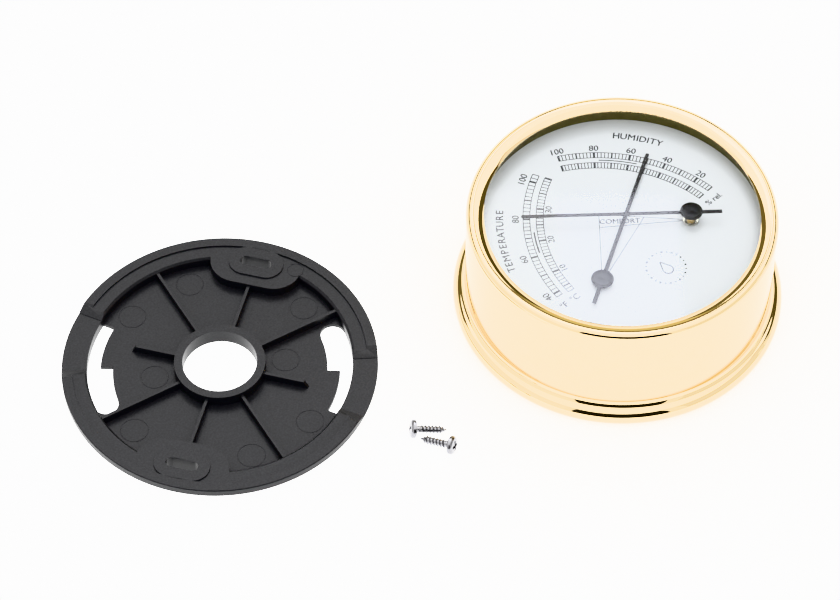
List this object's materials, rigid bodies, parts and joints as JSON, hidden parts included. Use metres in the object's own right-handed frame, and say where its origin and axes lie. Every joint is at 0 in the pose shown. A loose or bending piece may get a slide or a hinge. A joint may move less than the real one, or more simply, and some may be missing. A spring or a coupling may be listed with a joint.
{
  "type": "dial hygrometer",
  "caption": "Round brass comfort meter with crossing humidity and temperature pointers behind glass, beside its black bayonet wall plate and its wall screws.",
  "frame": {"origin": "centre of the case's back plane, where it rests on the table and would meet the wall", "axes": "+Z out of the dial, +Y to 12 o'clock on the dial, +X to 3 o'clock"},
  "size_m": [0.2515, 0.1881, 0.0477],
  "materials": {
    "case_brass": "polished and lacquered",
    "raw_brass": "turned",
    "bush_nickel": "nickel plated, satin",
    "clear_glass": "clear float glass",
    "dial_print": "white enamel with black printed scales",
    "plated_steel": "zinc plated sheet",
    "spring_steel": "bright spring steel",
    "zinc_screw": "bright zinc plated",
    "humidity_strip": "paper-coated metal strip",
    "bimetal_strip": "rolled bimetal",
    "pointer_black": "matt black enamel",
    "cap_black": "gloss black",
    "black_plastic": "moulded, satin"
  },
  "bodies": {
    "case": {"case_shell": "case_brass", "cover_lugs": "raw_brass", "glass": "clear_glass", "spacer_ring": "case_brass", "dial_plate": "dial_print", "dial_posts": "raw_brass", "front_plate": "plated_steel", "plate_posts": "raw_brass", "rear_plate": "plated_steel", "plate_screws": "zinc_screw", "humidity_bushing": "bush_nickel", "temperature_bushing": "bush_nickel", "adjuster_clips": "spring_steel", "back_cover": "black_plastic", "cover_screws": "zinc_screw"},
    "humidity_setting": {"humidity_adjuster": "plated_steel", "humidity_coil": "humidity_strip"},
    "temperature_setting": {"temperature_adjuster": "plated_steel", "temperature_coil": "bimetal_strip"},
    "humidity_hand": {"humidity_arbor": "raw_brass", "humidity_pointer": "pointer_black", "humidity_cap": "cap_black"},
    "temperature_hand": {"temperature_arbor": "raw_brass", "temperature_pointer": "pointer_black", "temperature_cap": "cap_black"},
    "wall_plate": {"wall_plate": "black_plastic"},
    "wall_screws": {"wall_screws": "zinc_screw"}
  },
  "joints": [
    {"name": "humidity_setting_turn", "type": "hinge", "parent": "case", "child": "humidity_setting", "pos_m": [-0.022, -0.0134, 0.0292], "axis": [0, 0, 1], "range_deg": [-2.5, 2.5]},
    {"name": "temperature_setting_turn", "type": "hinge", "parent": "case", "child": "temperature_setting", "pos_m": [0.022, -0.0134, 0.0292], "axis": [0, 0, 1], "range_deg": [-2.5, 2.5]},
    {"name": "humidity_hand_turn", "type": "hinge", "parent": "humidity_setting", "child": "humidity_hand", "pos_m": [-0.022, -0.0134, 0.0401], "axis": [0, 0, 1], "range_deg": [-25.6, 31.2]},
    {"name": "temperature_hand_turn", "type": "hinge", "parent": "temperature_setting", "child": "temperature_hand", "pos_m": [0.022, -0.0134, 0.0428], "axis": [0, 0, 1], "range_deg": [-22.7, 33.6]},
    {"name": "wall_plate_lift", "type": "slide", "parent": "case", "child": "wall_plate", "axis": [0, 0, 1], "range_m": [0, 0.06]},
    {"name": "wall_screws_lift", "type": "slide", "parent": "case", "child": "wall_screws", "axis": [0, 0, 1], "range_m": [0, 0.06]}
  ]
}
